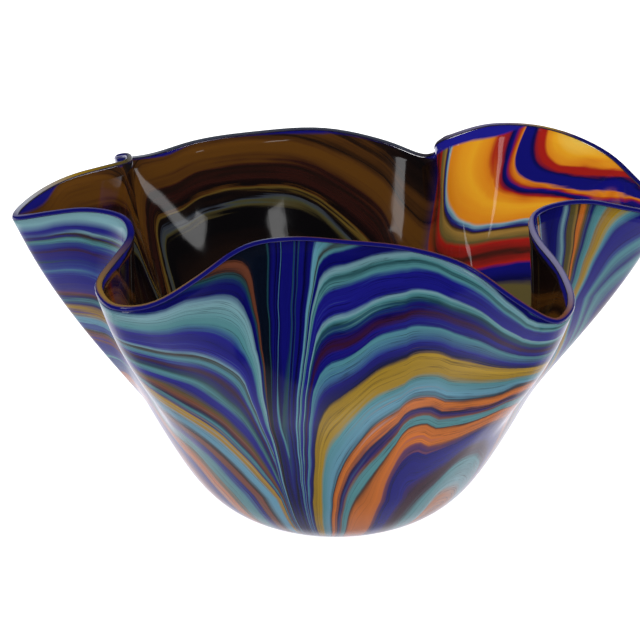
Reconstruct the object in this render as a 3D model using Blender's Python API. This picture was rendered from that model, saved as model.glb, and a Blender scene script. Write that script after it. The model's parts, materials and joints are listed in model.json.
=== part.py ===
"""Ruffled art glass bowl: a round blown cup whose wall opens into a deeply folded lip.

The frame is the bowl's own: +Z is up, z = 0 is the ground face that it stands on, and the axis of the
cup is x = y = 0. The longest lobe points to +X and the beak-shaped one to -X.
Lengths are written in millimetres and multiplied by MM.
"""

import math

import bmesh
import bpy
from mathutils import Vector
from mathutils.bvhtree import BVHTree
from mathutils.geometry import interpolate_bezier

MM = 0.001

# Overall sizes
SPAN = 355.0 * MM  # from the left tip of the lip to the right one
HEIGHT = 191.0 * MM  # from the ground face to the highest point of the lip

# The round cup that all the folds grow out of
FOOT_RADIUS = 31.0 * MM  # ground flat
FOOT_SLOPE = math.radians(10.0)  # of the wall just outside the ground face
CUP_RADIUS = 97.0 * MM  # where the folds begin
CUP_HEIGHT = 60.0 * MM
CUP_SLOPE = math.radians(60.5)  # of the wall there, above the horizontal
CUP_ROUNDING = (41.0 * MM, 33.0 * MM)  # handle lengths of its profile at the foot and at the folds

# The folded wall above the cup. It leaves the cup with a long pull under a fold and a short one under
# a lobe, and below the lip it leans back towards the reach where it would stand upright.
FOLD_REACH, FOLD_PULL = 103.0 * MM, 46.0 * MM
LOBE_REACH, LOBE_PULL = 181.0 * MM, 8.0 * MM
UPRIGHT_REACH = 125.0 * MM
LIP_LEAN = 0.42  # share of its distance from there that it gives up
LIP_DROP = 0.46  # over this share of its height above the cup

# Layers of glass, from outside to inside, and the clearance that separate solids keep
COBALT_THICK = 2.2 * MM
LINING_THICK = 1.4 * MM
CLEARANCE = 0.3 * MM

# Lip, punty seal and trails
LIP_ROUND = 2.0 * MM  # how far the half-round lip stands above the wall's edge
PUNTY_RADIUS = 18.0 * MM
TRAIL_THICK = 0.7 * MM  # at its middle
TRAIL_LIFT = 0.8 * MM  # of a trail's underside above the cobalt wall
TRAIL_TAPER = 0.25  # length of each tapered end, as a share of the trail

# The lip line, as (azimuth in degrees, reach as a share of half the span, height as a share of the
# whole, azimuth at which that part of the wall leaves the cup). It runs anticlockwise from above, and
# it turns back on itself where a fold is tucked in.
LIP_STATIONS = {
    "left beak tip": (178.5, 0.973, 0.892, 178.5),
    "left beak tip, near corner": (181.8, 0.968, 0.890, 182.5),
    "left beak near edge, at the tip": (185.0, 0.875, 0.912, 186.5),
    "left beak near edge": (190.0, 0.745, 0.938, 192.0),
    "near left fold, outer side": (198.0, 0.658, 0.932, 200.0),
    "near left fold, inner side": (206.0, 0.675, 0.904, 208.0),
    "near left fold, flank": (212.0, 0.765, 0.864, 213.0),
    "near left lobe, side": (218.0, 0.865, 0.826, 218.0),
    "near left lobe": (224.5, 0.883, 0.795, 225.0),
    "near left lobe, far side": (230.5, 0.826, 0.800, 232.0),
    "near left shoulder": (237.5, 0.710, 0.868, 240.0),
    "front fold, left": (246.0, 0.616, 0.946, 249.0),
    "front fold": (258.0, 0.580, 0.966, 260.0),
    "front fold, right": (272.0, 0.586, 0.961, 272.0),
    "near right rise": (287.0, 0.638, 0.951, 285.0),
    "near right shoulder": (299.0, 0.725, 0.910, 296.0),
    "near right lobe, far side": (308.0, 0.815, 0.812, 305.0),
    "near right lobe": (315.0, 0.870, 0.752, 313.0),
    "near right lobe, side": (321.5, 0.856, 0.776, 321.0),
    "near right fold, flank": (327.5, 0.770, 0.842, 327.0),
    "near right fold, inner side": (334.0, 0.650, 0.908, 332.0),
    "near right fold, outer side": (341.0, 0.620, 0.944, 339.0),
    "right lobe near edge": (348.5, 0.725, 0.965, 347.0),
    "right lobe, near the tip": (355.5, 0.868, 0.927, 354.0),
    "right tip": (362.0, 1.005, 0.885, 363.0),
    "right lobe far edge": (376.0, 0.985, 0.925, 373.0),
    "right lobe, broad side": (392.0, 1.018, 0.962, 382.0),
    "right lobe crest": (407.0, 1.005, 0.990, 391.0),
    "right lobe, turning in": (415.0, 0.900, 0.998, 397.0),
    "far right fold, near side": (418.9, 0.786, 0.987, 402.0),
    "far right fold": (420.8, 0.758, 0.976, 405.5),
    "far right fold, turning back": (423.0, 0.768, 0.955, 409.0),
    "far right fold, tucked side": (424.2, 0.815, 0.922, 415.0),
    "back lobe, right end": (430.0, 0.882, 0.882, 425.0),
    "back lobe, right": (438.5, 0.905, 0.912, 437.0),
    "back lobe": (452.0, 0.920, 0.948, 451.0),
    "back lobe, middle": (467.0, 0.907, 0.947, 466.0),
    "back lobe, left": (481.0, 0.908, 0.937, 480.0),
    "back lobe, left end": (490.0, 0.958, 0.902, 491.0),
    "far left ear, back": (495.5, 0.993, 0.900, 500.0),
    "far left ear": (499.0, 0.950, 0.925, 505.0),
    "far left ear, near side": (501.0, 0.870, 0.947, 511.0),
    "far left fold": (505.0, 0.820, 0.946, 518.0),
    "left beak far edge, fold end": (514.0, 0.812, 0.951, 523.0),
    "left beak far edge": (526.0, 0.860, 0.951, 531.0),
    "left beak tip, far side": (534.0, 0.925, 0.927, 534.0),
}

# Trails of coloured glass, drawn out along the wall and combed into arches, as (colour, azimuth of the
# crown, width of a leg in degrees, height of the crown as a share of the height, squareness of the
# shoulders, width in millimetres, where it starts and ends as shares of a leg). The legs sink to the foot.
TRAILS = {
    "front_upper_turquoise": ("turquoise", 294.0, 38.0, 0.827, 7.0, 6.5, -0.90, 0.30),
    "front_upper_red": ("red", 294.0, 37.0, 0.780, 5.5, 2.5, -0.88, 0.38),
    "front_fine_turquoise": ("turquoise", 294.0, 37.0, 0.728, 4.5, 3.0, -0.88, 0.42),
    "front_broad_yellow": ("yellow", 294.0, 35.0, 0.649, 3.5, 5.5, -0.92, 0.55),
    "front_broad_turquoise": ("turquoise", 294.0, 33.0, 0.581, 3.0, 5.0, -0.90, 0.62),
    "front_fine_orange": ("orange", 294.0, 30.0, 0.513, 2.8, 3.0, -0.88, 0.60),
    "front_broad_orange": ("orange", 296.0, 26.0, 0.419, 2.5, 6.0, -0.85, 0.75),
    "front_lower_yellow": ("yellow", 296.0, 24.0, 0.304, 2.5, 4.5, -0.85, 0.80),
    "left_upper_turquoise": ("turquoise", 221.0, 35.0, 0.728, 6.0, 6.0, 0.10, 0.88),
    "left_red": ("red", 221.0, 34.0, 0.639, 5.0, 3.0, 0.12, 0.90),
    "left_fine_turquoise": ("turquoise", 221.0, 34.0, 0.550, 4.0, 4.0, 0.15, 0.92),
    "left_yellow": ("yellow", 221.0, 32.0, 0.461, 3.5, 3.5, 0.20, 0.90),
    "left_orange": ("orange", 221.0, 30.0, 0.382, 3.0, 3.5, 0.15, 0.88),
    "beak_turquoise": ("turquoise", 163.0, 34.0, 0.618, 3.5, 6.0, -0.85, 0.60),
    "beak_orange": ("orange", 163.0, 31.0, 0.513, 3.0, 4.0, -0.85, 0.70),
    "beak_red": ("red", 163.0, 28.0, 0.419, 3.0, 4.0, -0.85, 0.80),
    "back_broad_turquoise": ("turquoise", 93.0, 40.0, 0.785, 5.0, 7.0, -0.70, 0.85),
    "back_yellow": ("yellow", 93.0, 37.0, 0.665, 4.0, 5.0, -0.80, 0.85),
    "back_fine_turquoise": ("turquoise", 93.0, 34.0, 0.545, 3.0, 5.0, -0.85, 0.85),
    "back_orange": ("orange", 93.0, 31.0, 0.445, 3.0, 5.0, -0.85, 0.85),
    "back_red": ("red", 93.0, 28.0, 0.346, 3.0, 4.0, -0.85, 0.85),
    "right_turquoise": ("turquoise", 25.0, 34.0, 0.670, 4.0, 7.0, -0.60, 0.85),
    "right_yellow": ("yellow", 25.0, 31.0, 0.565, 3.5, 5.0, -0.70, 0.85),
    "right_orange": ("orange", 25.0, 28.0, 0.461, 3.0, 6.0, -0.80, 0.85),
    "right_red": ("red", 25.0, 25.0, 0.366, 2.8, 4.0, -0.85, 0.85),
}
TRAIL_COLOURS = {
    "turquoise": (0.12, 0.42, 0.45),
    "yellow": (0.60, 0.38, 0.04),
    "orange": (0.75, 0.22, 0.05),
    "red": (0.28, 0.02, 0.02),
}

# How finely the surfaces are divided
COLUMNS_PER_STATION = 3
CUP_ROWS = 4
WALL_ROWS = 7
TRAIL_STEP = 8.0 * MM


def lip_stations():
    """The lip line's stations as points."""
    points = []
    for azimuth, reach, height, _ in LIP_STATIONS.values():
        angle = math.radians(azimuth)
        radius = reach * SPAN / 2
        points.append(Vector((radius * math.cos(angle), radius * math.sin(angle), height * HEIGHT)))
    return points


def lip_line(per_station):
    """Points of the smooth closed curve through the stations, that many for each station."""
    knots = lip_stations()
    count = len(knots)
    spans = [(knots[(i + 1) % count] - knots[i]).length for i in range(count)]
    slopes = []
    for i in range(count):
        before, after = spans[i - 1], spans[i]
        ahead = (knots[(i + 1) % count] - knots[i]) / after
        behind = (knots[i] - knots[i - 1]) / before
        slopes.append((ahead * before + behind * after) / (before + after))
    line = []
    for i in range(count):
        j = (i + 1) % count
        reach = spans[i] / 3
        handles = knots[i] + slopes[i] * reach, knots[j] - slopes[j] * reach
        line += interpolate_bezier(knots[i], *handles, knots[j], per_station + 1)[:-1]
    return line


def cup_azimuths(per_station):
    """The azimuth at which each column leaves the cup, eased between the stations."""
    own = [math.radians(station[3]) for station in LIP_STATIONS.values()]
    around = [own[-1] - 2 * math.pi] + own + [own[0] + 2 * math.pi, own[1] + 2 * math.pi]
    azimuths = []
    for before, this, after, beyond in zip(around, around[1:], around[2:], around[3:]):
        handles = this + (after - before) / 6, after - (beyond - this) / 6
        for step in range(per_station):
            t = step / per_station
            s = 1 - t
            ends = s**3 * this + t**3 * after
            azimuths.append(ends + 3 * s * s * t * handles[0] + 3 * s * t * t * handles[1])
    return azimuths


def meridian(azimuth, lip):
    """One column of the outer skin, from the edge of the ground face up to a point of the lip."""
    outward = Vector((math.cos(azimuth), math.sin(azimuth), 0.0))
    upward = Vector((0.0, 0.0, 1.0))
    parting = outward * math.cos(FOOT_SLOPE) + upward * math.sin(FOOT_SLOPE)
    rising = outward * math.cos(CUP_SLOPE) + upward * math.sin(CUP_SLOPE)
    foot = outward * FOOT_RADIUS
    ring = outward * CUP_RADIUS + upward * CUP_HEIGHT
    handles = foot + parting * CUP_ROUNDING[0], ring - rising * CUP_ROUNDING[1]
    cup = interpolate_bezier(foot, *handles, ring, CUP_ROWS + 1)
    reach = Vector((lip.x, lip.y, 0.0))
    lobed = (reach.length - FOLD_REACH) / (LOBE_REACH - FOLD_REACH)
    pull = FOLD_PULL + (LOBE_PULL - FOLD_PULL) * lobed
    below = (outward + reach.normalized()).normalized()
    below *= reach.length + (UPRIGHT_REACH - reach.length) * LIP_LEAN
    below += upward * (lip.z + (CUP_HEIGHT - lip.z) * LIP_DROP)
    wall = interpolate_bezier(ring, ring + rising * pull, below, lip, WALL_ROWS + 1)
    return cup + wall[1:]


def skin_columns(per_station=COLUMNS_PER_STATION):
    """The outer skin as a list of columns, each running from the ground face to the lip."""
    pairs = zip(cup_azimuths(per_station), lip_line(per_station))
    return [meridian(azimuth, lip) for azimuth, lip in pairs]


def new_object(name, bm, colour, roughness=0.05):
    """An object of its own from a bmesh, shaded smooth, with a plain glossy material."""
    bm.normal_update()
    mesh = bpy.data.meshes.new(name)
    bm.to_mesh(mesh)
    bm.free()
    mesh.shade_smooth()
    obj = bpy.data.objects.new(name, mesh)
    bpy.context.scene.collection.objects.link(obj)
    material = bpy.data.materials.new(name)
    material.use_nodes = True
    shader = material.node_tree.nodes["Principled BSDF"]
    shader.inputs["Base Color"].default_value = (*colour, 1.0)
    shader.inputs["Roughness"].default_value = roughness
    shader.inputs["Metallic"].default_value = 0.0
    mesh.materials.append(material)
    return obj


def loft(bm, loops):
    """Faces between neighbouring closed loops of points."""
    rings = [[bm.verts.new(point) for point in loop] for loop in loops]
    for lower, upper in zip(rings, rings[1:]):
        for i in range(len(lower)):
            j = (i + 1) % len(lower)
            bm.faces.new((lower[i], lower[j], upper[j], upper[i]))
    return rings


def circle(radius, height, azimuths):
    return [Vector((radius * math.cos(a), radius * math.sin(a), height)) for a in azimuths]


def skin_sheet(inner_radius):
    """The outer skin as an open sheet whose faces point out, with a round hole in the ground face,
    or closed at the axis if inner_radius is 0."""
    columns = skin_columns()
    azimuths = [math.atan2(column[0].y, column[0].x) for column in columns]
    rows = [list(row) for row in zip(*columns)]
    bm = bmesh.new()
    rings = loft(bm, [circle(inner_radius or FOOT_RADIUS / 2, 0.0, azimuths)] + rows)
    if not inner_radius:
        centre = bm.verts.new((0.0, 0.0, 0.0))
        first = rings[0]
        for i, vertex in enumerate(first):
            bm.faces.new((centre, first[(i + 1) % len(first)], vertex))
    return bm


def add_layer(obj, depth, thickness):
    """Sinks a sheet to its depth below the outer skin and gives it its thickness, inwards."""
    if depth:
        sink = obj.modifiers.new("depth", "DISPLACE")
        sink.direction = "NORMAL"
        sink.mid_level = 0.0
        sink.strength = -depth
    solid = obj.modifiers.new("thickness", "SOLIDIFY")
    solid.thickness = thickness
    solid.offset = -1.0
    return obj


def make_cobalt_wall():
    """The structural layer, cut through at the middle of the foot where the punty was broken off."""
    wall = new_object("cobalt_wall", skin_sheet(PUNTY_RADIUS + CLEARANCE), (0.03, 0.03, 0.42))
    return add_layer(wall, 0.0, COBALT_THICK)


def make_amber_lining():
    """The first gather, which lines the whole inside."""
    lining = new_object("amber_lining", skin_sheet(0.0), (0.16, 0.06, 0.015))
    return add_layer(lining, COBALT_THICK + CLEARANCE, LINING_THICK)


def make_punty_seal():
    """The disc of clear glass in the foot, ground flush with it: a short cylinder, its edge eased."""
    bm = bmesh.new()
    bmesh.ops.create_cone(
        bm, cap_ends=True, segments=40, radius1=PUNTY_RADIUS, radius2=PUNTY_RADIUS, depth=COBALT_THICK
    )
    bmesh.ops.translate(bm, verts=bm.verts, vec=(0.0, 0.0, COBALT_THICK / 2))
    upper = [e for e in bm.edges if all(v.co.z > COBALT_THICK / 2 for v in e.verts)]
    bmesh.ops.bevel(bm, geom=upper, offset=COBALT_THICK / 3, segments=2, profile=0.5, affect="EDGES")
    seal = new_object("punty_seal", bm, (0.75, 0.78, 0.8))
    seal.data.set_sharp_from_angle(angle=math.radians(40))
    return seal


def make_lip_wrap():
    """The fire-polished lip: a half-round bead, as wide as the wall, that runs along its edge."""
    sheet = skin_sheet(0.0)
    sheet.normal_update()
    rim = [(v.co.copy(), v.normal.copy()) for v in sheet.verts if v.is_boundary]
    sheet.free()
    width = COBALT_THICK + CLEARANCE + LINING_THICK
    section = [(0.0, 0.0), (0.12, 0.62), (0.5, 1.0), (0.88, 0.62), (1.0, 0.0)]
    loops = [[] for _ in section]
    for i, (point, outward) in enumerate(rim):
        along = rim[(i + 1) % len(rim)][0] - rim[i - 1][0]
        up = outward.cross(along).normalized()
        for loop, (across, rise) in zip(loops, section):
            loop.append(point - outward * across * width + up * (CLEARANCE + rise * LIP_ROUND))
    bm = bmesh.new()
    loft(bm, loops + [loops[0]])
    bmesh.ops.remove_doubles(bm, verts=bm.verts, dist=0.001 * MM)
    bmesh.ops.recalc_face_normals(bm, faces=bm.faces)
    return new_object("lip_wrap", bm, (0.35, 0.16, 0.06))


def on_skin(tree, point, lift):
    """The point of the skin straight out from the axis through this one, lifted off it, or None."""
    out = Vector((point.x, point.y, 0.0)).normalized()
    hit, normal, _, _ = tree.ray_cast(Vector((0.0, 0.0, point.z)), out)
    if hit is None:
        return None
    return hit + normal * math.copysign(lift, normal.dot(out))


def arch(tree, crown, leg, height, squareness, start, end):
    """Points on the skin along an arch, about one step apart."""
    fine = []
    for i in range(201):
        share = start + (end - start) * i / 200
        azimuth = math.radians(crown + leg * share)
        level = height * HEIGHT * (1 - abs(share) ** squareness)
        point = on_skin(tree, Vector((math.cos(azimuth), math.sin(azimuth), level)), 0.0)
        if point:
            fine.append(point)
    line = [fine[0]]
    for point in fine:
        if (point - line[-1]).length > TRAIL_STEP:
            line.append(point)
    return line


def make_trail(name, tree, colour, crown, leg, height, squareness, width, start, end):
    """One trail: a ribbon, flat below and domed above, whose ends taper."""
    line = arch(tree, crown, leg, height, squareness, start, end)
    last = len(line) - 1
    bm = bmesh.new()
    loops = []
    for i, point in enumerate(line):
        along = line[min(i + 1, last)] - line[max(i - 1, 0)]
        out = Vector((point.x, point.y, 0.0)).normalized()
        across = along.cross(out).normalized()
        nearest_end = min(i, last - i) / last / TRAIL_TAPER
        half = width * MM / 2 * max(0.12, min(1.0, nearest_end)) ** 0.7
        sides = [on_skin(tree, point + across * half * side, TRAIL_LIFT) for side in (-1, 0, 1)]
        loops.append([*sides, on_skin(tree, point, TRAIL_LIFT + TRAIL_THICK)])
    rings = loft(bm, loops)
    bm.faces.new(rings[0][::-1])
    bm.faces.new(rings[-1])
    bmesh.ops.recalc_face_normals(bm, faces=bm.faces)
    return new_object("trail_" + name, bm, TRAIL_COLOURS[colour])


def make_trails():
    sheet = skin_sheet(0.0)
    sheet.normal_update()
    tree = BVHTree.FromBMesh(sheet)
    sheet.free()
    for name, trail in TRAILS.items():
        make_trail(name, tree, *trail)


for leftover in list(bpy.data.objects):
    bpy.data.objects.remove(leftover)
make_cobalt_wall()
make_amber_lining()
make_punty_seal()
make_lip_wrap()
make_trails()
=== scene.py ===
import json
import math

import bpy
from mathutils.kdtree import KDTree
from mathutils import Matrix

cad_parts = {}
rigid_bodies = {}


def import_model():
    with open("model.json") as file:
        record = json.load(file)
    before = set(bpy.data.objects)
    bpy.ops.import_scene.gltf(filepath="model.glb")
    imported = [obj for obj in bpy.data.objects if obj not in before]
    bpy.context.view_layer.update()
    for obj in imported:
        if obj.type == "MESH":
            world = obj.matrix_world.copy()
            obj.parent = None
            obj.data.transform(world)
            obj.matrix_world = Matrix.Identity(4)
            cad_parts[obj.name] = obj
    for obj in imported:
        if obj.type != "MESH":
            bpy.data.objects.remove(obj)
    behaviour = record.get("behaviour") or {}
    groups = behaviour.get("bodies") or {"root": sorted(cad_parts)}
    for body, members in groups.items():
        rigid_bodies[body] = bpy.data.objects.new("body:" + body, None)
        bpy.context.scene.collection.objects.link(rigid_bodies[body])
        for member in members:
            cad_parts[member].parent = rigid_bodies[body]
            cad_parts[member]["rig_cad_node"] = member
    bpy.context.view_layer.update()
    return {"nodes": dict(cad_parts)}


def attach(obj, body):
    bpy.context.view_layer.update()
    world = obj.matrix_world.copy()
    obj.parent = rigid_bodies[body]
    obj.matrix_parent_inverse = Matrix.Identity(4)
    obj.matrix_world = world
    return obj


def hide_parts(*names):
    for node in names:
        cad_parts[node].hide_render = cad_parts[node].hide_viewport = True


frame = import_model()


# The colour overlay: the outer gather of cobalt glass, with the trails of coloured glass drawn out and combed
# on it. Reheating melts the trails in flush, so wall and trails are one skin here. It is copied from the wall,
# its triangles are merged back into quads, and the facets are fire-polished away by subdivision.
FACET_MERGE = 2e-5  # metres; corners nearer than this are one
QUAD_ANGLE = 60  # degrees; triangles that meet flatter than this make a quad
CUT_EDGE = 55  # degrees; edges sharper than this stay sharp
WALL_SMOOTH = 2  # rounds of subdivision
TRAIL_NODES = [name for name in frame["nodes"] if name.startswith("trail_")]

# Azimuths are in degrees, anticlockwise seen from above, from the long lobe on the right. Heights are in
# millimetres. Each list runs once round the bowl.
LIP_HEIGHT = [
    (0, 170), (16, 177), (32, 184), (47, 189), (60, 182), (70, 169), (79, 174), (92, 181), (107, 181),
    (121, 179), (130, 172), (139, 176), (145, 181), (166, 182), (178, 170), (190, 180), (198, 178),
    (206, 173), (212, 165), (218, 158), (224, 152), (230, 153), (237, 166), (246, 181), (258, 184),
    (272, 183), (287, 182), (299, 174), (308, 155), (315, 144), (321, 148), (327, 161), (334, 173),
    (341, 180), (348, 184), (355, 177), (360, 170),
]
# How far the comb dragged the bands down, near the foot and near the lip. It peaks where the comb passed.
DRAG_LOW = [
    (0, 205), (6, 140), (14, 95), (25, 60), (38, 40), (50, 60), (60, 105), (68, 150), (78, 110), (90, 75),
    (115, 45), (138, 70), (152, 110), (162, 250), (172, 105), (182, 62), (195, 32), (209, 42), (220, 58),
    (232, 72), (245, 92), (250, 104), (253, 150), (256, 300), (258.5, 190), (261, 132), (263, 124),
    (267, 111), (271, 101), (276, 92), (283, 88), (289, 76), (295, 66), (305, 52), (315, 28), (323, 35),
    (331, 62), (336, 110), (340, 150), (346, 330), (352, 290), (360, 205),
]
DRAG_HIGH = [
    (0, 110), (12, 80), (25, 50), (38, 25), (50, 60), (60, 110), (68, 155), (80, 110), (95, 60), (115, 0),
    (135, 60), (150, 110), (162, 250), (172, 100), (180, 50), (186, 0), (192, 45), (205, 40), (218, 35),
    (226, 62), (234, 98), (241, 122), (245, 135), (248, 155), (251, 195), (253.5, 250), (256, 330),
    (258.5, 250), (260.5, 195), (262.5, 150), (265, 118), (268, 107), (272, 102),
    (281, 74), (287, 58), (292, 34), (297, 56), (308, 62), (315, 20), (322, 60), (332, 110), (340, 150),
    (342, 310), (348, 230), (354, 160), (360, 110),
]
LEFT_COMB = 256 / 360  # where the comb passed, between the two near lobes
FOLD_COMB = 340 / 360  # in the near right fold
FAR_COMB = 68 / 360  # in the far right fold
CURVE_TOP = 400.0  # no curve round the bowl goes higher than this, in millimetres
LEVEL_WALL = 110.0  # up to here a level is a height; above, levels follow the lip
LIP_LEVEL = 184.0  # the level at the lip
DRAG_FROM, DRAG_TO = 40.0, 130.0  # the heights between which the low drag turns into the high one
BEAK_DROP = 17.0  # how much lower the levels run in the beak-shaped lobe, between the four turns below
BEAK_START, BEAK_FULL, BEAK_FADE, BEAK_END = 150 / 360, 165 / 360, 203 / 360, 213 / 360
BEAK_MIDDLE, BEAK_HALF = 185 / 360, 20 / 360  # where that lobe is edged and bluer
BEAK_EDGING = (5.0, 9.0)  # millimetres below the lip at which the edging starts to fade and is gone
# The streaks of each kind: how quickly they change across the bands, and how quickly round the bowl.
SWAY, BROAD, FINE, HAIR = (0.02, 3.0), (0.09, 1.6), (0.25, 1.6), (0.6, 1.3)
# How far the noises move things, from end to end: turns round the bowl and millimetres of level.
COMB_WANDER, COMB_FRAY = 0.014, 0.01
BAND_SWAY, BAND_FRAY, BAND_SMEAR = 5.0, 6.0, 30.0
# What the streaks do to the colour: between which two of their values, and what share at the one and the other.
SMEAR = (0.46, 0.66, 0.0, 0.4)
DARK_THREAD, THREAD_AT = (0.004, 0.018, 0.45, 1.0), 0.53
BLUER = (0.44, 0.52, 0.0, 0.75)
DEPTH = (0.3, 0.7, 0.72, 1.12)
LEFT_SPLIT, RIGHT_SPLIT = 151.0, 156.0  # the level at which a side's lower list of bands gives way to its upper

COBALT = (0.006, 0.006, 0.190)
VIOLET = (0.014, 0.013, 0.290)
NAVY = (0.003, 0.003, 0.060)
INK = (0.003, 0.006, 0.016)
TURQUOISE = (0.110, 0.350, 0.390)
PALE_TURQUOISE = (0.270, 0.510, 0.580)
SKY = (0.160, 0.400, 0.560)
TEAL = (0.020, 0.090, 0.110)
YELLOW = (0.500, 0.300, 0.015)
MUSTARD = (0.400, 0.230, 0.050)
OLIVE = (0.120, 0.095, 0.030)
ORANGE = (0.800, 0.210, 0.025)
RUST = (0.260, 0.075, 0.030)
MAROON = (0.055, 0.010, 0.030)
RED = (0.300, 0.020, 0.015)
BROWN = (0.040, 0.018, 0.014)
PEACH = (0.620, 0.260, 0.120)

# The bands of each stretch by level: the height in millimetres at which they were laid, before the comb.
LEFT_BANDS = [
    (40, PEACH), (52, RED), (57, VIOLET), (62, VIOLET), (64, PEACH), (69, ORANGE), (72, OLIVE), (74, TURQUOISE),
    (80, TURQUOISE), (82, VIOLET), (86, COBALT), (88, RUST), (91, RUST), (93, BROWN), (96, SKY), (101, SKY),
    (104, MUSTARD), (108, YELLOW), (110, COBALT), (113, TURQUOISE), (115, NAVY), (118, RUST), (121, OLIVE),
    (124, VIOLET), (129, VIOLET), (132, TURQUOISE), (136, TEAL), (139, COBALT), (142, MAROON), (145, VIOLET),
    (149, TURQUOISE), (152, BROWN),
]
LEFT_TOP_BANDS = [
    (150, TURQUOISE), (151.5, BROWN), (153, BROWN), (154, PALE_TURQUOISE), (156, VIOLET), (166, VIOLET),
    (172, TURQUOISE), (182, PALE_TURQUOISE), (185, COBALT), (190, COBALT), (193, TEAL), (196, BROWN),
    (198, RUST), (200, INK), (226, INK), (230, TEAL), (234, NAVY), (250, COBALT), (262, NAVY), (275, COBALT),
    (290, NAVY), (306, COBALT), (311, TURQUOISE), (316, NAVY), (330, COBALT),
]
RIGHT_BANDS = [
    (40, PEACH), (46, PALE_TURQUOISE), (60, TURQUOISE), (63, MAROON), (68, MAROON), (72, VIOLET), (82, COBALT),
    (85, RUST), (87, ORANGE), (92, ORANGE), (94, BROWN), (95, TURQUOISE), (98, TURQUOISE), (99, RUST),
    (101, COBALT), (103, NAVY), (104, ORANGE), (107, ORANGE), (109, INK), (111, SKY), (118, TURQUOISE),
    (121, YELLOW), (130, YELLOW), (132, NAVY), (137, VIOLET), (145, TURQUOISE), (146.5, COBALT),
    (150, VIOLET), (153, MAROON), (156, COBALT),
]
RIGHT_TOP_BANDS = [
    (155, MAROON), (157, COBALT), (160, TEAL), (162, TURQUOISE), (164, PALE_TURQUOISE), (165.5, VIOLET),
    (175, VIOLET), (177.5, TURQUOISE), (180, TEAL), (181, TURQUOISE), (184, PALE_TURQUOISE), (186, COBALT),
    (191, COBALT), (193, TURQUOISE), (196, BROWN), (198, TURQUOISE), (203, SKY), (208, COBALT), (230, NAVY),
    (240, COBALT), (262, COBALT), (267, TEAL), (273, COBALT), (290, INK), (300, COBALT), (318, TEAL),
    (330, COBALT),
]
LOBE_BANDS = [
    (40, MAROON), (60, VIOLET), (75, TURQUOISE), (90, ORANGE), (98, COBALT), (112, VIOLET), (120, TURQUOISE),
    (128, PALE_TURQUOISE), (136, COBALT), (150, MAROON), (158, COBALT), (170, TURQUOISE), (176, COBALT),
    (184, TURQUOISE), (189, VIOLET), (202, VIOLET), (206, TURQUOISE), (211, YELLOW), (218, MUSTARD),
    (222, TURQUOISE), (229, TURQUOISE), (233, COBALT), (241, OLIVE), (246, ORANGE), (252, ORANGE), (255, INK),
    (259, MUSTARD), (270, OLIVE), (284, OLIVE), (290, COBALT), (300, PALE_TURQUOISE), (312, COBALT),
]


def solid_copy(node, name, smoothing):
    """A copy of a CAD node as a mesh of quads, with its facets polished away."""
    bpy.ops.object.select_all(action="DESELECT")
    frame["nodes"][node].select_set(True)
    bpy.context.view_layer.objects.active = frame["nodes"][node]
    bpy.ops.object.duplicate()
    piece = bpy.context.object
    piece.name = name
    del piece["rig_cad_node"]
    bpy.ops.object.parent_clear(type="CLEAR_KEEP_TRANSFORM")
    bpy.ops.object.mode_set(mode="EDIT")
    bpy.ops.mesh.select_all(action="SELECT")
    bpy.ops.mesh.remove_doubles(threshold=FACET_MERGE)
    quad_angle = math.radians(QUAD_ANGLE)
    bpy.ops.mesh.tris_convert_to_quads(face_threshold=quad_angle, shape_threshold=quad_angle)
    bpy.ops.mesh.select_mode(type="EDGE")
    bpy.ops.mesh.select_all(action="DESELECT")
    bpy.ops.mesh.edges_select_sharp(sharpness=math.radians(CUT_EDGE))
    bpy.ops.transform.edge_crease(value=1.0)
    bpy.ops.object.mode_set(mode="OBJECT")
    polish = piece.modifiers.new("fire_polish", "SUBSURF")
    polish.levels = smoothing
    polish.render_levels = smoothing
    bpy.ops.object.modifier_apply(modifier=polish.name)
    bpy.ops.object.shade_smooth()
    return piece


def put(tree, kind, inputs=(), **settings):
    """Adds a node, sets it, and joins or fills its inputs."""
    node = tree.nodes.new(kind)
    for key, value in settings.items():
        setattr(node, key, value)
    for socket, value in dict(inputs).items():
        if isinstance(value, bpy.types.NodeSocket):
            tree.links.new(value, node.inputs[socket])
        else:
            node.inputs[socket].default_value = value
    return node


def sum_up(tree, operation, *values):
    """The result of one Math node."""
    return put(tree, "ShaderNodeMath", enumerate(values), operation=operation).outputs[0]


def fade(tree, value, start, end, at_start=0.0, at_end=1.0):
    """A share that goes from at_start to at_end while value goes from start to end, and stays there beyond."""
    return put(tree, "ShaderNodeMapRange", {0: value, 1: start, 2: end, 3: at_start, 4: at_end}).outputs[0]


def shift(tree, value, noise, depth):
    """The value, moved to and fro by a noise, depth from end to end."""
    return sum_up(tree, "MULTIPLY_ADD", sum_up(tree, "SUBTRACT", noise, 0.5), depth, value)


def drag_down(tree, laid, drag):
    """The level whose glass the comb drew down to a point: a smooth maximum of the point's own and the drag."""
    cubes = sum_up(tree, "ADD", sum_up(tree, "POWER", laid, 3.0), sum_up(tree, "POWER", drag, 3.0))
    return sum_up(tree, "POWER", cubes, 1 / 3)


def round_curve(tree, turn, points):
    """A value in millimetres that changes round the bowl."""
    node = put(tree, "ShaderNodeFloatCurve", {"Value": turn})
    curve = node.mapping.curves[0]
    curve.points[0].location = (0, points[0][1] / CURVE_TOP)
    curve.points[1].location = (1, points[-1][1] / CURVE_TOP)
    for azimuth, height in points[1:-1]:
        curve.points.new(azimuth / 360, height / CURVE_TOP)
    for point in curve.points:
        point.handle_type = "AUTO_CLAMPED"
    node.mapping.update()
    return sum_up(tree, "MULTIPLY", node.outputs[0], CURVE_TOP)


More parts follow.
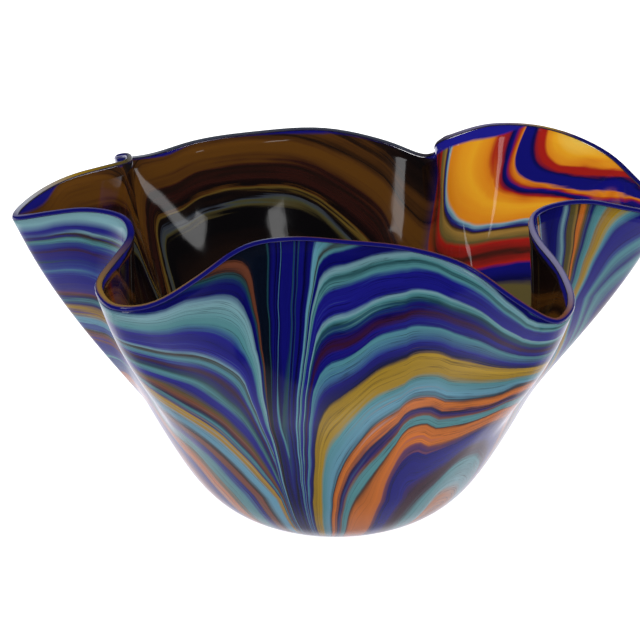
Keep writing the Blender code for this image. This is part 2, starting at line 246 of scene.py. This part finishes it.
def band_ramp(tree, level, bands):
    """The colours of the bands, by level."""
    first, last = bands[0][0], bands[-1][0]
    node = put(tree, "ShaderNodeValToRGB", {"Fac": fade(tree, level, first, last)})
    ramp = node.color_ramp
    ramp.elements[0].color = (*bands[0][1], 1)
    ramp.elements[1].color = (*bands[-1][1], 1)
    for height, colour in bands[1:-1]:
        ramp.elements.new((height - first) / (last - first)).color = (*colour, 1)
    return node.outputs["Color"]


def blend_colours(tree, share, first, second, mode="MIX"):
    """The first colour, mixed or multiplied with the second by share."""
    node = put(tree, "ShaderNodeMix", data_type="RGBA", blend_type=mode)
    for socket, value in (("Factor", share), ("A", first), ("B", second)):
        target = [s for s in node.inputs if s.name == socket and s.enabled][0]
        if isinstance(value, bpy.types.NodeSocket):
            tree.links.new(value, target)
        else:
            target.default_value = value
    return [s for s in node.outputs if s.enabled][0]


def group(name, inputs, outputs):
    """An empty node group with named sockets, and its two ends."""
    tree = bpy.data.node_groups.new(name, "ShaderNodeTree")
    for socket, kind in inputs.items():
        tree.interface.new_socket(socket, in_out="INPUT", socket_type=kind)
    for socket, kind in outputs.items():
        tree.interface.new_socket(socket, in_out="OUTPUT", socket_type=kind)
    return tree, put(tree, "NodeGroupInput"), put(tree, "NodeGroupOutput")


FLOAT, COLOUR, VECTOR = "NodeSocketFloat", "NodeSocketColor", "NodeSocketVector"

# Where a point lies on the bowl: its turn round the axis, 0 to 1, and its height in millimetres.
around, given, result = group("place_on_bowl", {"Position": VECTOR}, {"Turn": FLOAT, "Height": FLOAT})
axes = put(around, "ShaderNodeSeparateXYZ", {0: given.outputs[0]})
angle = sum_up(around, "ARCTAN2", axes.outputs[1], axes.outputs[0])
turns = sum_up(around, "ADD", sum_up(around, "DIVIDE", angle, math.tau), 1.0)
around.links.new(sum_up(around, "FRACT", turns), result.inputs["Turn"])
around.links.new(sum_up(around, "MULTIPLY", axes.outputs[2], 1000.0), result.inputs["Height"])

# Streaks drawn out along the bands: fine across them, long along them.
streaks, given, result = group(
    "drawn_streaks", {"Turn": FLOAT, "Level": FLOAT, "Fineness": FLOAT, "Length": FLOAT}, {"Streak": FLOAT}
)
swing = sum_up(streaks, "MULTIPLY", given.outputs["Turn"], math.tau)
east = sum_up(streaks, "MULTIPLY", sum_up(streaks, "COSINE", swing), given.outputs["Length"])
north = sum_up(streaks, "MULTIPLY", sum_up(streaks, "SINE", swing), given.outputs["Length"])
across = sum_up(streaks, "MULTIPLY", given.outputs["Level"], given.outputs["Fineness"])
spot = put(streaks, "ShaderNodeCombineXYZ", {0: east, 1: north, 2: across}).outputs[0]
grain = put(streaks, "ShaderNodeTexNoise", {"Vector": spot, "Scale": 1.0, "Detail": 3.0, "Roughness": 0.55})
streaks.links.new(grain.outputs[0], result.inputs["Streak"])


def streak(tree, turn, level, fineness, length):
    """The streaks at a point, 0 to 1."""
    node = put(tree, "ShaderNodeGroup", node_tree=bpy.data.node_groups["drawn_streaks"])
    for socket, value in (("Turn", turn), ("Level", level)):
        tree.links.new(value, node.inputs[socket])
    node.inputs["Fineness"].default_value = fineness
    node.inputs["Length"].default_value = length
    return node.outputs[0]


# The level at which the glass at a point was laid before the comb dragged it down.
combing, given, result = group("combed_level", {"Turn": FLOAT, "Height": FLOAT}, {"Level": FLOAT})
turn, height = given.outputs["Turn"], given.outputs["Height"]
lip = round_curve(combing, turn, LIP_HEIGHT)
above = sum_up(combing, "MAXIMUM", sum_up(combing, "SUBTRACT", height, LEVEL_WALL), 0.0)
stretch = sum_up(combing, "DIVIDE", LIP_LEVEL - LEVEL_WALL, sum_up(combing, "SUBTRACT", lip, LEVEL_WALL))
laid = sum_up(combing, "MULTIPLY_ADD", above, stretch, sum_up(combing, "MINIMUM", height, LEVEL_WALL))
beak = fade(combing, turn, BEAK_START, BEAK_FULL, 0.0, BEAK_DROP)
beak = sum_up(combing, "MULTIPLY", beak, fade(combing, turn, BEAK_FADE, BEAK_END, 1.0, 0.0))
laid = sum_up(combing, "MAXIMUM", sum_up(combing, "SUBTRACT", laid, beak), 0.0)
share = fade(combing, height, DRAG_FROM, DRAG_TO)
low, high = round_curve(combing, turn, DRAG_LOW), round_curve(combing, turn, DRAG_HIGH)
drag = put(combing, "ShaderNodeMix", {0: share, 2: low, 3: high}).outputs[0]
combing.links.new(drag_down(combing, laid, drag), result.inputs["Level"])

# The colour of the glass laid at a level, in the three stretches between the lines that the comb drew.
bands, given, result = group("overlay_bands", {"Turn": FLOAT, "Level": FLOAT}, {"Color": COLOUR})
turn, level = given.outputs["Turn"], given.outputs["Level"]
sides = []
for split, lower, upper in ((LEFT_SPLIT, LEFT_BANDS, LEFT_TOP_BANDS), (RIGHT_SPLIT, RIGHT_BANDS, RIGHT_TOP_BANDS)):
    is_high = sum_up(bands, "GREATER_THAN", level, split)
    sides.append(blend_colours(bands, is_high, band_ramp(bands, level, lower), band_ramp(bands, level, upper)))
colour = blend_colours(bands, sum_up(bands, "GREATER_THAN", turn, LEFT_COMB), *sides)
past_fold = sum_up(bands, "GREATER_THAN", turn, FOLD_COMB)
before_far = sum_up(bands, "LESS_THAN", turn, FAR_COMB)
in_lobe = sum_up(bands, "MAXIMUM", past_fold, before_far)
bands.links.new(blend_colours(bands, in_lobe, colour, band_ramp(bands, level, LOBE_BANDS)), result.inputs[0])


def laid_colour(tree, turn, level):
    """The colour of the overlay at a level."""
    node = put(tree, "ShaderNodeGroup", node_tree=bpy.data.node_groups["overlay_bands"])
    tree.links.new(turn, node.inputs["Turn"])
    tree.links.new(level, node.inputs["Level"])
    return node.outputs[0]


def glass(piece, name):
    """A new material on a piece: its node tree, its shader and where each point lies."""
    material = bpy.data.materials.new(name)
    material.use_nodes = True
    piece.data.materials.clear()
    piece.data.materials.append(material)
    tree = material.node_tree
    spot = put(tree, "ShaderNodeTexCoord").outputs["Object"]
    return tree, tree.nodes["Principled BSDF"], spot


def place_on(tree, spot):
    """The turn and the height of each point."""
    place = put(tree, "ShaderNodeGroup", {0: spot}, node_tree=bpy.data.node_groups["place_on_bowl"])
    return place.outputs["Turn"], place.outputs["Height"]


overlay = solid_copy("cobalt_wall", "combed_overlay", WALL_SMOOTH)
tree, shader, spot = glass(overlay, "combed_overlay_glass")
true_turn, height = place_on(tree, spot)
# The comb is drawn by hand, so its lines wander a little.
wander = put(tree, "ShaderNodeTexNoise", {"Vector": spot, "Scale": 16.0, "Detail": 2.0}).outputs[0]
turn = sum_up(tree, "FRACT", sum_up(tree, "ADD", shift(tree, true_turn, wander, COMB_WANDER), 1.0))
level = put(tree, "ShaderNodeGroup", node_tree=combing)
tree.links.new(turn, level.inputs["Turn"])
tree.links.new(height, level.inputs["Height"])
level = level.outputs[0]
sway, broad, fine, hair = (streak(tree, turn, level, *kind) for kind in (SWAY, BROAD, FINE, HAIR))
drawn = shift(tree, shift(tree, level, sway, BAND_SWAY), fine, BAND_FRAY)
smeared = shift(tree, drawn, hair, BAND_SMEAR)
edge = shift(tree, turn, fine, COMB_FRAY)
smear = fade(tree, broad, *SMEAR)
colour = blend_colours(tree, smear, laid_colour(tree, edge, drawn), laid_colour(tree, edge, smeared))
# Thin dark threads, where the finest streaks cross one value.
thread = sum_up(tree, "ABSOLUTE", sum_up(tree, "SUBTRACT", hair, THREAD_AT))
colour = blend_colours(tree, 1.0, colour, fade(tree, thread, *DARK_THREAD), "MULTIPLY")
# The beak-shaped lobe is bluer in streaks, and has its own edging of pale turquoise.
to_lip = sum_up(tree, "SUBTRACT", round_curve(tree, turn, LIP_HEIGHT), height)
on_beak = sum_up(tree, "COMPARE", turn, BEAK_MIDDLE, BEAK_HALF)
edging = sum_up(tree, "MULTIPLY", fade(tree, to_lip, *BEAK_EDGING, 1.0, 0.0), on_beak)
bluer = fade(tree, fine, *BLUER)
colour = blend_colours(tree, sum_up(tree, "MULTIPLY", bluer, on_beak), colour, (*VIOLET, 1))
colour = blend_colours(tree, edging, colour, (*PALE_TURQUOISE, 1))
colour = blend_colours(tree, 1.0, colour, fade(tree, broad, *DEPTH), "MULTIPLY")
tree.links.new(colour, shader.inputs["Base Color"])
ripple = put(tree, "ShaderNodeBump", {"Height": broad, "Strength": 0.05, "Distance": 0.002})
tree.links.new(ripple.outputs[0], shader.inputs["Normal"])
shader.inputs["Roughness"].default_value = 0.09
shader.inputs["IOR"].default_value = 1.5
shader.inputs["Coat Weight"].default_value = 0.5
shader.inputs["Coat Roughness"].default_value = 0.02
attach(overlay, "root")
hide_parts("cobalt_wall", *TRAIL_NODES)


# The lining: the first gather of dark amber glass, which the whole inside shows. Bands of the same trails
# show through it: orange, red and cobalt folded over each other in the long lobe, thin olive ones in the back.
LINING_DRAG = [
    (0, 60), (40, 60), (62, 150), (72, 140), (80, 118), (88, 105), (95, 80), (103, 50), (120, 20), (132, 60),
    (142, 140), (150, 90), (165, 40), (185, 30), (200, 120), (206, 150), (215, 90), (235, 40), (256, 150),
    (275, 80), (300, 40), (322, 90), (336, 150), (345, 100), (360, 60),
]
# In the long lobe the bands come in level, then turn up to the lip along these lines.
LOBE_RISE = [(0, 0), (10, 0), (30, 8), (40, 12), (64, 26), (340, 40), (348, 15), (360, 0)]
LOBE_TURN = [
    (0, 330), (30, 270), (41, 213), (44, 199), (46, 190), (49, 180), (51, 173), (56, 165),
    (59, 160), (61, 152), (63, 142), (66, 128), (90, 120), (335, 120), (340, 300), (360, 300),
]
LOBE_TURN_LEAN = -0.05 / 360  # turns per millimetre of height
LEAN_HEIGHT = 165.0  # where the leant lines pass through their own azimuths
TURN_BLEND = 60.0  # millimetres over which the level bands bend into the rising ones
LONG_LOBE_END = 62 / 360
FAR_EDGE, NEAR_EDGE = 6 / 360, 8 / 360  # how softly the lobe's bands end on either side
LIP_LAID = 181.0  # the level at the lip, inside
# The fine and the broad streaks of the lining and of its long lobe, and how far they move the bands.
LINING_FINE, LINING_BROAD = (0.35, 1.3), (0.06, 1.8)
LINING_FRAY, LINING_SWAY = 14.0, 16.0
LOBE_FINE, LOBE_BROAD = (0.3, 1.5), (0.05, 2.5)
LOBE_FRAY, LOBE_SWAY = 5.0, 12.0
CURL_START, CURL_END = 45 / 360, 52 / 360  # where in the long lobe the curl of blue goes from less to more
CURL_LESS, CURL_MORE, CURL_SWAY = -8.0, 1.0, 8.0  # how deep it reaches and how much it sways, in millimetres
CURL_FROM, CURL_FULL = 181.0, 182.5  # the levels at which it starts and covers all
PAINTED_GLOW_THROUGH = 0.3  # how strongly the long lobe glows with its own colours: a painted glow that stands in for light coming through it
AMBER = (0.020, 0.009, 0.006)
BLACK_AMBER = (0.004, 0.003, 0.004)
TOFFEE = (0.150, 0.055, 0.010)
CARAMEL = (0.210, 0.080, 0.010)
STRAW = (0.260, 0.170, 0.030)
RED_BROWN = (0.050, 0.012, 0.008)
GOLD = (0.950, 0.440, 0.020)
LEMON = (1.000, 0.680, 0.120)
HOT_ORANGE = (0.800, 0.250, 0.012)
BLOOD = (0.420, 0.014, 0.010)
GREEN_GREY = (0.110, 0.120, 0.060)
SLATE = (0.080, 0.095, 0.130)
LINING_BANDS = [
    (60, BLACK_AMBER), (100, BLACK_AMBER), (118, AMBER), (132, BLACK_AMBER), (142, BLACK_AMBER), (144.5, OLIVE),
    (146.5, GREEN_GREY), (148, SLATE), (149.5, BLACK_AMBER), (152, AMBER), (154, STRAW), (155.5, TOFFEE),
    (157, BLACK_AMBER), (161, RED_BROWN), (164, AMBER), (167, RED_BROWN), (170, TOFFEE), (174, CARAMEL),
    (177, CARAMEL), (180, TOFFEE), (184, AMBER), (190, TOFFEE), (194, AMBER), (205, BLACK_AMBER),
    (215, RED_BROWN), (230, AMBER),
]
# In the long lobe the thin pale turquoise band just under the orange is partly a turquoise trail and partly a
# painted highlight.
LOBE_LINING_BANDS = [
    (60, BLACK_AMBER), (86, BLACK_AMBER), (104, OLIVE), (122, OLIVE), (126, NAVY), (134, COBALT), (136, BLOOD),
    (141, RED_BROWN), (146, BLOOD), (148, OLIVE), (151, MUSTARD), (153, BROWN), (154, COBALT),
    (156, PALE_TURQUOISE), (157, HOT_ORANGE), (164, GOLD), (167, HOT_ORANGE), (168.3, BLOOD), (169.3, NAVY),
    (171, COBALT), (172, BLOOD), (173.2, HOT_ORANGE), (174.2, COBALT), (178.5, COBALT), (180, NAVY),
    (181.5, BLOOD), (184.5, BLOOD), (186, HOT_ORANGE), (190, GOLD), (200, LEMON),
]

lining = solid_copy("amber_lining", "amber_lining_glass", WALL_SMOOTH)
tree, shader, spot = glass(lining, "amber_lining_glass")
turn, height = place_on(tree, spot)
below_lip = sum_up(tree, "SUBTRACT", round_curve(tree, turn, LIP_HEIGHT), LIP_LAID)
laid = sum_up(tree, "MAXIMUM", sum_up(tree, "SUBTRACT", height, below_lip), 0.0)
level = drag_down(tree, laid, round_curve(tree, turn, LINING_DRAG))
fine = streak(tree, turn, level, *LINING_FINE)
broad = streak(tree, turn, level, *LINING_BROAD)
drawn = shift(tree, shift(tree, level, fine, LINING_FRAY), broad, LINING_SWAY)
plain = band_ramp(tree, drawn, LINING_BANDS)
level_part = sum_up(tree, "ADD", height, round_curve(tree, turn, LOBE_RISE))
leant = sum_up(tree, "MULTIPLY_ADD", sum_up(tree, "SUBTRACT", height, LEAN_HEIGHT), -LOBE_TURN_LEAN, turn)
leant = sum_up(tree, "FRACT", sum_up(tree, "ADD", leant, 1.0))
risen = sum_up(tree, "SMOOTH_MIN", level_part, round_curve(tree, leant, LOBE_TURN), TURN_BLEND)
folded_fine = streak(tree, turn, risen, *LOBE_FINE)
folded_broad = streak(tree, turn, risen, *LOBE_BROAD)
folded = shift(tree, shift(tree, risen, folded_fine, LOBE_FRAY), folded_broad, LOBE_SWAY)
vivid = band_ramp(tree, folded, LOBE_LINING_BANDS)
far_side = fade(tree, turn, LONG_LOBE_END, LONG_LOBE_END + FAR_EDGE, 1.0, 0.0)
near_side = fade(tree, turn, FOLD_COMB - NEAR_EDGE, FOLD_COMB)
in_lobe = sum_up(tree, "MAXIMUM", far_side, near_side)
colour = blend_colours(tree, in_lobe, plain, vivid)
# The overlay's blue curls in over the lip, and further in where the bands of the long lobe turn up.
curl = sum_up(tree, "MULTIPLY", fade(tree, turn, CURL_START, CURL_END, CURL_LESS, CURL_MORE), in_lobe)
curl = sum_up(tree, "ADD", laid, shift(tree, curl, broad, CURL_SWAY))
colour = blend_colours(tree, fade(tree, curl, CURL_FROM, CURL_FULL), colour, (*VIOLET, 1))
tree.links.new(colour, shader.inputs["Base Color"])
# Painted glow: the long lobe emits its own colours, standing in for the light that comes through its thinner glass.
painted_glow = blend_colours(tree, in_lobe, (0, 0, 0, 1), colour)
tree.links.new(painted_glow, shader.inputs["Emission Color"])
shader.inputs["Emission Strength"].default_value = PAINTED_GLOW_THROUGH
blown = put(tree, "ShaderNodeTexNoise", {"Vector": spot, "Scale": 28.0, "Detail": 2.0}).outputs[0]
ripple = put(tree, "ShaderNodeBump", {"Height": blown, "Strength": 0.25, "Distance": 0.002})
tree.links.new(ripple.outputs[0], shader.inputs["Normal"])
shader.inputs["Roughness"].default_value = 0.07
shader.inputs["Coat Weight"].default_value = 0.5
shader.inputs["Coat Roughness"].default_value = 0.02
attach(lining, "root")
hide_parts("amber_lining")


# The lip: a bead that the flame draws up on the cut edge of the glass, copper brown, yellow and blue by turns, as
# each layer shows in it,
# with painted highlights along its crest: lavender partly, and the frost-white spots wholly.
COPPER = (0.300, 0.110, 0.045)
LAVENDER_SHEEN = (0.330, 0.310, 0.520)
PAINTED_GLINT = (0.620, 0.660, 0.760)
SMOKE = (0.060, 0.055, 0.120)
# Round the lip, by azimuth. The frost-white stops are painted glints; the lavender ones are partly the blue edge and
# partly a painted highlight on it.
LIP_COLOURS = [
    (0, LAVENDER_SHEEN), (12, COBALT), (39, COBALT), (45, YELLOW), (54, LAVENDER_SHEEN), (66, BROWN), (75, SLATE),
    (90, SLATE), (126, SLATE), (138, PAINTED_GLINT), (146, OLIVE), (165, YELLOW), (177, PAINTED_GLINT), (182, LAVENDER_SHEEN),
    (201, VIOLET), (207, COBALT), (219, MUSTARD), (237, MUSTARD), (242, VIOLET), (252, PAINTED_GLINT), (261, COPPER),
    (318, COPPER), (324, LAVENDER_SHEEN), (360, LAVENDER_SHEEN),
]
LIP_FULLER = 0.00015  # metres by which the flame swells the bead, over the gap to the wall
LIP_SMOOTH = 1
# How far in across the bead the outer blue fades into the crest, and the crest into the smoky inside.
OUTER_FADE, INNER_FADE = (0.42, 0.50), (0.66, 0.74)
lip_bead = solid_copy("lip_wrap", "lip_bead", LIP_SMOOTH)
bpy.ops.object.mode_set(mode="EDIT")
bpy.ops.mesh.select_all(action="SELECT")
bpy.ops.transform.shrink_fatten(value=LIP_FULLER)
bpy.ops.object.mode_set(mode="OBJECT")
# How far in each point of the bead lies, from the overlay's skin at 0 to the lining's at 1.
near = {}
for skin in (overlay, lining):
    near[skin] = KDTree(len(skin.data.vertices))
    for vertex in skin.data.vertices:
        near[skin].insert(vertex.co, vertex.index)
    near[skin].balance()
inwards = lip_bead.data.attributes.new("inwards", "FLOAT", "POINT")
for vertex in lip_bead.data.vertices:
    to_wall, to_lining = near[overlay].find(vertex.co)[2], near[lining].find(vertex.co)[2]
    inwards.data[vertex.index].value = to_wall / (to_wall + to_lining)
tree, shader, spot = glass(lip_bead, "lip_bead_glass")
turn = place_on(tree, spot)[0]
crest = band_ramp(tree, sum_up(tree, "MULTIPLY", turn, 360.0), LIP_COLOURS)
across = put(tree, "ShaderNodeAttribute", attribute_name="inwards").outputs["Fac"]
edge = blend_colours(tree, fade(tree, across, *OUTER_FADE, 1.0, 0.0), crest, (*COBALT, 1))
edge = blend_colours(tree, fade(tree, across, *INNER_FADE), edge, (*SMOKE, 1))
tree.links.new(edge, shader.inputs["Base Color"])
shader.inputs["Roughness"].default_value = 0.1
shader.inputs["Coat Weight"].default_value = 0.5
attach(lip_bead, "root")
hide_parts("lip_wrap")


# The seal under the foot: a button of clear glass where the bowl was broken off the iron, ground flat and frosted
# by the wheel, so that the bowl stands on it without a scratch.
GROUND_GLASS = (0.420, 0.460, 0.480)
WHEEL_MARK = (0.250, 0.280, 0.310)
FROSTING = (0.3, 0.7, 0.35, 0.6)  # roughness 0.35 to 0.6, by the speckle from 0.3 to 0.7
SEAL_SMOOTH = 1
seal = solid_copy("punty_seal", "ground_seal", SEAL_SMOOTH)
tree, shader, spot = glass(seal, "ground_seal_glass")
rings = put(tree, "ShaderNodeTexWave", {"Vector": spot, "Scale": 160.0, "Distortion": 3.0, "Detail": 3.0},
            wave_type="RINGS", rings_direction="Z").outputs[1]
speckle = put(tree, "ShaderNodeTexNoise", {"Vector": spot, "Scale": 900.0, "Detail": 3.0}).outputs[0]
marks = sum_up(tree, "MULTIPLY", rings, speckle)
tree.links.new(blend_colours(tree, marks, (*GROUND_GLASS, 1), (*WHEEL_MARK, 1)), shader.inputs["Base Color"])
tree.links.new(fade(tree, speckle, *FROSTING), shader.inputs["Roughness"])
grit = put(tree, "ShaderNodeBump", {"Height": marks, "Strength": 0.2, "Distance": 0.0003})
tree.links.new(grit.outputs[0], shader.inputs["Normal"])
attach(seal, "root")
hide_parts("punty_seal")


# The floor: a plain white table, lit from all round so that it hardly takes a shadow. It glows white for the
# camera and weakly for everything else.
TABLE_GAP = 0.0003  # metres below the ground face
TABLE_GIVES = 0.25  # its glow, other than for the camera
bpy.ops.mesh.primitive_circle_add(vertices=96, radius=6.0, fill_type="NGON", location=(0, 0, -TABLE_GAP))
floor = bpy.context.object
floor.name = "white_table"
paper = bpy.data.materials.new("white_table")
paper.use_nodes = True
shader = paper.node_tree.nodes["Principled BSDF"]
shader.inputs["Base Color"].default_value = (0.9, 0.9, 0.9, 1)
shader.inputs["Roughness"].default_value = 0.9
shader.inputs["Emission Color"].default_value = (1, 1, 1, 1)
ray = put(paper.node_tree, "ShaderNodeLightPath")
glow = put(paper.node_tree, "ShaderNodeMix", {0: ray.outputs["Is Camera Ray"], 2: TABLE_GIVES, 3: 1.0})
paper.node_tree.links.new(glow.outputs[0], shader.inputs["Emission Strength"])
floor.data.materials.append(paper)
floor.visible_glossy = False


# The light: a white dome, even for the camera and for matt surfaces, and two narrow soft boxes in front of the
# bowl, left and right. Gloss sees a table that is brighter the nearer it lies and white behind the bowl, and
# a dark room above it. The round front of the camera is a dark patch.
DOME_GIVES = 0.58  # how strongly the dome lights matt surfaces
DARK_TOWARDS = (-0.24, -0.961, -0.139)
DARK_WIDTH = 14  # degrees from its middle to its edge
DARK_EDGE, DARK_GIVES = 0.008, 0.04  # how softly it ends, and what is left of the light in it
WHITE_BEHIND = (-0.4, 0.2)  # how far back gloss has to look to see the white begin, and to see it full
TABLE_END = (-0.05, 0.05, 1.1, 0.0)  # that white table, from below the horizon to the dark room above
UNDER_BOWL = (-0.8, -0.4, 0.35, 1.0)  # the bowl shades the table right under it
GLOSS_TINT = (0.93, 0.91, 1, 1)
# How bright the table looks, by how steeply the gloss looks down at it, 0 level and 100 straight down.
TABLE_GLOW = [(5, 0.02), (20, 0.08), (40, 0.25), (55, 0.50), (70, 0.75), (85, 0.40), (100, 0.20)]
AIM_HEIGHT = 0.1  # metres above the table, on the bowl's axis, where the soft boxes point
world = bpy.data.worlds.new("studio")
bpy.context.scene.world = world
world.use_nodes = True
tree = world.node_tree
sky = tree.nodes["Background"]
path = put(tree, "ShaderNodeLightPath")
direction = put(tree, "ShaderNodeTexCoord").outputs["Generated"]
axes = put(tree, "ShaderNodeSeparateXYZ", {0: direction})
downwards = sum_up(tree, "MULTIPLY", axes.outputs[2], -100.0)
below = band_ramp(tree, downwards, [(share, (glow, glow, glow)) for share, glow in TABLE_GLOW])
behind = fade(tree, axes.outputs[1], *WHITE_BEHIND)
behind = sum_up(tree, "MULTIPLY", behind, fade(tree, axes.outputs[2], *TABLE_END))
behind = sum_up(tree, "MULTIPLY", behind, fade(tree, axes.outputs[2], *UNDER_BOWL))
facing = put(tree, "ShaderNodeVectorMath", {0: direction, 1: DARK_TOWARDS}, operation="DOT_PRODUCT").outputs["Value"]
patch_edge = math.cos(math.radians(DARK_WIDTH))
clear = fade(tree, facing, patch_edge, patch_edge + DARK_EDGE, 1.0, DARK_GIVES)
seen = sum_up(tree, "MULTIPLY", sum_up(tree, "MAXIMUM", behind, below), clear)
lit = put(tree, "ShaderNodeMix", {0: path.outputs["Is Glossy Ray"], 2: DOME_GIVES, 3: seen}).outputs[0]
strength = put(tree, "ShaderNodeMix", {0: path.outputs["Is Camera Ray"], 2: lit, 3: 1.0}).outputs[0]
tree.links.new(strength, sky.inputs["Strength"])
tint = blend_colours(tree, path.outputs["Is Glossy Ray"], (1, 1, 1, 1), GLOSS_TINT)
tree.links.new(tint, sky.inputs["Color"])


def soft_box(name, azimuth, elevation, distance, size, power):
    """A rectangular light that faces the middle of the bowl."""
    a, e = math.radians(azimuth), math.radians(elevation)
    place = (
        distance * math.cos(e) * math.cos(a),
        distance * math.cos(e) * math.sin(a),
        distance * math.sin(e) + AIM_HEIGHT,
    )
    bpy.ops.object.light_add(type="AREA", location=place)
    box = bpy.context.object
    box.name = name
    box.rotation_euler = (math.radians(90) - e, 0, a + math.radians(90))
    box.data.shape = "RECTANGLE"
    box.data.size, box.data.size_y = size
    box.data.energy = power


soft_box("left_soft_box", 237, 34, 1.5, (0.20, 0.6), 0.7)
soft_box("right_soft_box", 306, 43, 1.5, (0.16, 0.22), 0.2)


# The camera stands in front, above the lip, and looks down into the bowl.
LOOK_DOWN = 17  # degrees
bpy.ops.object.camera_add(location=(-0.0085, -1.2432, 0.4931))
camera = bpy.context.object
camera.rotation_euler = (math.radians(90 - LOOK_DOWN), 0, 0)
camera.data.lens = 135.1  # millimetres, as the sensor
camera.data.sensor_width = 36
bpy.context.scene.camera = camera
bpy.context.scene.view_settings.view_transform = "Standard"
